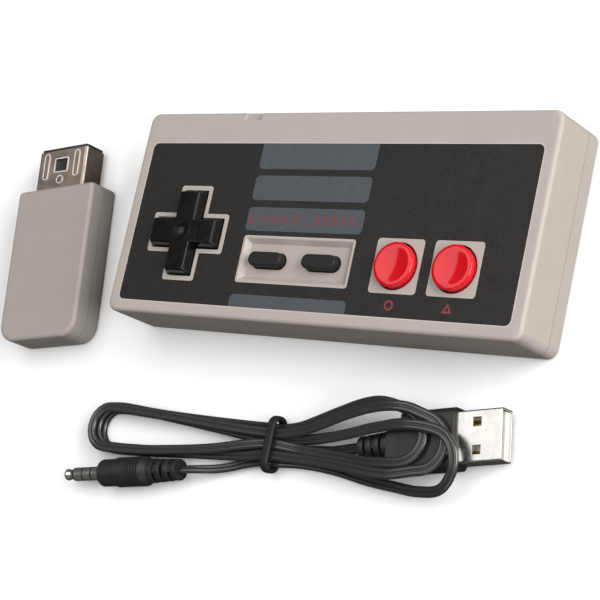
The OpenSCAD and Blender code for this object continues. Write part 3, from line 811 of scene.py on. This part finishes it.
print_bars(plate_top() - PRINT_LOW, plate_top() + PRINT_TOP)
print_marks(plate_top() - PRINT_LOW, plate_top() + PRINT_TOP)
make_plate_lip()


# ---- Rubber membranes: flat sheets, domes, and cores that move with the controls ----

# The sheets' lower and upper sides and their corners
SHEET_LOW = 9.1
SHEET_HIGH = 9.9
SHEET_CORNER = 1.5

# The thickness of a dome, how far it reaches into its core, and how far the core stays below its top
DOME_SKIN = 0.6
CORE_OVERLAP = 0.3
CORE_DROP = 0.2

# Radii of each kind of dome at its foot, at its top and at its core
BUTTON_DOME = (5.2, 3.6, 2.4)
KEY_DOME = (4.2, 2.9, 2.0)
PAD_DOME = (3.6, 2.9, 1.8)

# How far the pad's domes lie from its middle, and how much lower than the membrane they end
PAD_REACH = 8.3
PAD_DROP = 0.25


def lathe(profile, x, y, count=36):
    """A closed solid turned round the upright line through x, y from pairs of radius and height."""
    rings = []
    for k in range(count):
        turn = 2 * math.pi * k / count
        rings.append([(x + r * math.cos(turn), y + r * math.sin(turn), z) for r, z in profile])
    return rings_mesh(rings, closed_along=True)


def make_sheet(name, node, spots, hole_r, middle_hole=0.0):
    """The membrane's flat sheet, cut out under its domes."""
    low, high = (Vector(corner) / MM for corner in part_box(node))
    centre = (low + high) / 2
    loop = rounded_loop(high.x - low.x, high.y - low.y, SHEET_CORNER)
    outline = moved(loop, centre.x, centre.y)
    sheet = piece(name, *slab(outline, SHEET_LOW, SHEET_HIGH), SILICONE, "controller", "silicone")
    holes = [(spot, hole_r) for spot in spots]
    if middle_hole:
        holes.append((centre, middle_hole))
    cutters = []
    for (x, y, *_), radius in holes:
        hole = slab(moved(circle(radius), x, y), SHEET_LOW - 1, SHEET_HIGH + 1)
        cutter = piece("cutter", *hole, SILICONE)
        cut = sheet.modifiers.new("cut", "BOOLEAN")
        cut.object = cutter
        cut.solver = "EXACT"
        cutters.append(cutter)
    bpy.context.view_layer.update()
    evaluated = sheet.evaluated_get(bpy.context.evaluated_depsgraph_get())
    finished = bpy.data.meshes.new_from_object(evaluated)
    sheet.modifiers.clear()
    sheet.data = finished
    for cutter in cutters:
        bpy.data.objects.remove(cutter)
    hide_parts(node)


def domes(name, spots, sizes, top, body=None, base=SHEET_LOW):
    """Thin cones with a flat top that is open round the core."""
    base_r, top_r, core_r = sizes
    opening = core_r - CORE_OVERLAP
    profile = [
        (opening, top), (top_r, top), (base_r, base), (base_r - DOME_SKIN, base),
        (top_r - DOME_SKIN, top - DOME_SKIN), (opening, top - DOME_SKIN),
    ]
    verts, faces = joined([lathe(profile, x, y) for x, y in spots])
    return piece(name, verts, faces, SILICONE, body, "silicone")


def make_cores(name, body, spots, core_r, bottom, top):
    """The solid middles of the domes, which carry the carbon pills."""
    parts = [slab(moved(circle(core_r), x, y), bottom, top) for x, y in spots]
    piece(name, *joined(parts), SILICONE, body, "silicone")


def middle_of(node):
    """The middle of a node's box in X and Y."""
    low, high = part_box(node)
    return ((low.x + high.x) / 2 / MM, (low.y + high.y) / 2 / MM)


def pill_top(node):
    """The height of a carbon pill's upper side."""
    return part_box(node)[1].z / MM


def make_press_domes(label, hole_r, sizes, controls):
    """The sheet, domes and cores under two press controls."""
    spots = [middle_of(pill) for _, pill in controls]
    make_sheet(f"{label}_sheet", f"{label}_membrane", spots, hole_r)
    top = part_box(f"{label}_membrane")[1].z / MM
    for (control, pill), spot in zip(controls, spots):
        dome = domes(f"{control}_dome", [spot], sizes, top, "controller")
        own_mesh(dome)
        make_cores(f"{control}_core", control, [spot], sizes[-1], pill_top(pill), top - CORE_DROP)


def make_pad_domes():
    """The sheet, domes and cores under the direction pad; the cores ride on the pad."""
    x, y = middle_of("dpad_pills")
    base = (SHEET_LOW + SHEET_HIGH) / 2
    upright = [(x, y + PAD_REACH), (x, y - PAD_REACH)]
    level = [(x - PAD_REACH, y), (x + PAD_REACH, y)]
    spots = upright + level
    make_sheet("dpad_sheet", "dpad_membrane", spots, hole_r=3.1, middle_hole=3.0)
    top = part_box("dpad_membrane")[1].z / MM - PAD_DROP
    upright_domes = domes("dpad_domes_up_down", upright, PAD_DOME, top, base=base)
    level_domes = domes("dpad_domes_left_right", level, PAD_DOME, top, base=base)
    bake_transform(upright_domes)
    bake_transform(level_domes)
    make_cores("dpad_cores", "dpad", spots, PAD_DOME[-1], pill_top("dpad_pills"), top - CORE_DROP)


BUTTONS = [("button_b", "button_b_pill"), ("button_a", "button_a_pill")]
KEYS = [("select", "select_pill"), ("start", "start_pill")]
make_press_domes("ab", hole_r=4.7, sizes=BUTTON_DOME, controls=BUTTONS)
make_press_domes("key", hole_r=3.7, sizes=KEY_DOME, controls=KEYS)
make_pad_domes()


# ---- Pressed outlines on the metal jacket of the receiver's plug, coloured bright as painted highlights ----

# The receiver's own frame, turned on the floor, and where its housing ends along its own Y
RECEIVER = Matrix.Translation((-95.5, -13, 0)) @ Matrix.Rotation(math.radians(8), 4, "Z")
HOUSING_END = 21.5

# The outlines: their line, a bead's length and width, and the width, height and corner of the
# window's outer and inner edge
LINE_WIDTH = 0.32
LINE_DEPTH = 0.3
LINE_RISE = 0.05
BEAD = (7.4, 1.7)
BEAD_X = 5.6
WINDOW_OUTER = (5.1, 4.3, 0.45)
WINDOW_INNER = (4.45, 3.65, 0.1)
DIMPLE_R = 1.1

# Where the beads with the window lie, and the dimple, along the receiver's Y
WINDOW_Y = HOUSING_END + 6.7
DIMPLE_Y = HOUSING_END + 2.5


def capsule(length, width, count=8):
    """Outline with round ends, its length along Y."""
    radius = width / 2
    turns = [math.pi * k / count for k in range(count + 1)]
    head = [(radius * math.cos(t), (length - width) / 2 + radius * math.sin(t)) for t in turns]
    return head + [(-x, -y) for x, y in head]


def make_jacket_outlines():
    """Pressed lines round the two beads, the window and the dimple, in a lighter metal as painted
    highlights.
    """
    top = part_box("connector_shell")[1].z / MM
    length, width = BEAD
    parts = []

    def outline(outer, inner, x, y):
        edges = (moved(outer, x, y), moved(inner, x, y))
        parts.append(band(*edges, top - LINE_DEPTH, top + LINE_RISE))

    outer = capsule(length + LINE_WIDTH, width + LINE_WIDTH)
    inner = capsule(length - LINE_WIDTH, width - LINE_WIDTH)
    for side in (-1, 1):
        outline(outer, inner, side * BEAD_X, WINDOW_Y)
    outline(rounded_loop(*WINDOW_OUTER, 3), rounded_loop(*WINDOW_INNER, 3), 0, WINDOW_Y)
    outline(circle(DIMPLE_R + LINE_WIDTH / 2), circle(DIMPLE_R - LINE_WIDTH / 2), 0, DIMPLE_Y)
    verts, faces = joined(parts)
    turned = [RECEIVER @ Vector(v) for v in verts]
    piece("jacket_outlines_painted_highlight", turned, faces, PRESSED_PAINTED_HIGHLIGHT, "receiver", "jacket_metal")


make_jacket_outlines()


# ---- Floor and light, in metres and watts ----

# How far the floor reaches, the colours between which it is seen, and the one that lights the set
FLOOR_REACH = 3
FLOOR_SEEN = (rgb(250, 250, 250), rgb(253, 253, 253))
FLOOR_BOUNCE = rgb(64, 62, 61)
PAPER_SIZE = 60

# The strength of the surrounding white at its darkest and brightest, and where it is brightest
WORLD_LOW = 0.12
WORLD_HIGH = 0.75
WORLD_BRIGHTEST = Vector((0.8, 0.5, 0.3)).normalized()

# Each softbox: its name, its place, what it faces, its width, its height and its power
SOFTBOXES = [
    ("overhead", (-0.27, 0.2, 1.0), (-0.27, 0.2, 0), 1.05, 1.2, 6.6),
    ("key", (1.1, 0.165, 0.48), (0, -0.02, 0), 1.1, 0.8, 21.5),
    ("fill", (0.15, -0.9, 0.45), (0, -0.03, 0), 0.7, 0.4, 1.3),
]


def make_floor():
    """A white floor that throws less light back onto the set than it shows."""
    made = Nodes("floor_white", Roughness=0.85)
    paper = made.mix(made.span(made.noise(PAPER_SIZE), 0, 1), *FLOOR_SEEN)
    seen = made.add("ShaderNodeLightPath").outputs["Is Camera Ray"]
    made.shade("Base Color", made.mix(seen, FLOOR_BOUNCE, paper))
    mesh = bpy.data.meshes.new("floor")
    corners = [(FLOOR_REACH * x, FLOOR_REACH * y, 0) for x, y in ((-1, -1), (1, -1), (1, 1), (-1, 1))]
    mesh.from_pydata(corners, [], [(0, 1, 2, 3)])
    mesh.materials.append(made.material)
    floor = bpy.data.objects.new("floor", mesh)
    bpy.context.collection.objects.link(floor)


def softbox(name, place, aim, width, height, power):
    """A soft rectangular light."""
    data = bpy.data.lights.new(name, "AREA")
    data.shape = "RECTANGLE"
    data.size = width
    data.size_y = height
    data.energy = power
    lamp = bpy.data.objects.new(name, data)
    lamp.location = place
    lamp.rotation_euler = (Vector(aim) - Vector(place)).to_track_quat("-Z", "Y").to_euler()
    bpy.context.collection.objects.link(lamp)


def make_world():
    """White behind the set, with its light stronger from the right and from behind."""
    world = bpy.data.worlds.new("studio")
    bpy.context.scene.world = world
    world.use_nodes = True
    tree = world.node_tree
    back = tree.nodes["Background"]
    back.inputs["Color"].default_value = (1, 1, 1, 1)
    towards = tree.nodes.new("ShaderNodeVectorMath")
    towards.operation = "DOT_PRODUCT"
    towards.inputs[1].default_value = WORLD_BRIGHTEST
    tree.links.new(tree.nodes.new("ShaderNodeTexCoord").outputs["Generated"], towards.inputs[0])
    light = tree.nodes.new("ShaderNodeMapRange")
    light.inputs["From Min"].default_value = 0
    light.inputs["To Min"].default_value = WORLD_LOW
    light.inputs["To Max"].default_value = WORLD_HIGH
    tree.links.new(towards.outputs["Value"], light.inputs["Value"])
    seen = tree.nodes.new("ShaderNodeLightPath").outputs["Is Camera Ray"]
    strength = tree.nodes.new("ShaderNodeMath")
    strength.operation = "MAXIMUM"
    tree.links.new(light.outputs["Result"], strength.inputs[0])
    tree.links.new(seen, strength.inputs[1])
    tree.links.new(strength.outputs["Value"], back.inputs["Strength"])


def light_scene():
    """The surrounding white and the softboxes, shown without a film curve."""
    make_world()
    for box in SOFTBOXES:
        softbox(*box)
    bpy.context.scene.view_settings.view_transform = "Standard"


make_floor()
light_scene()
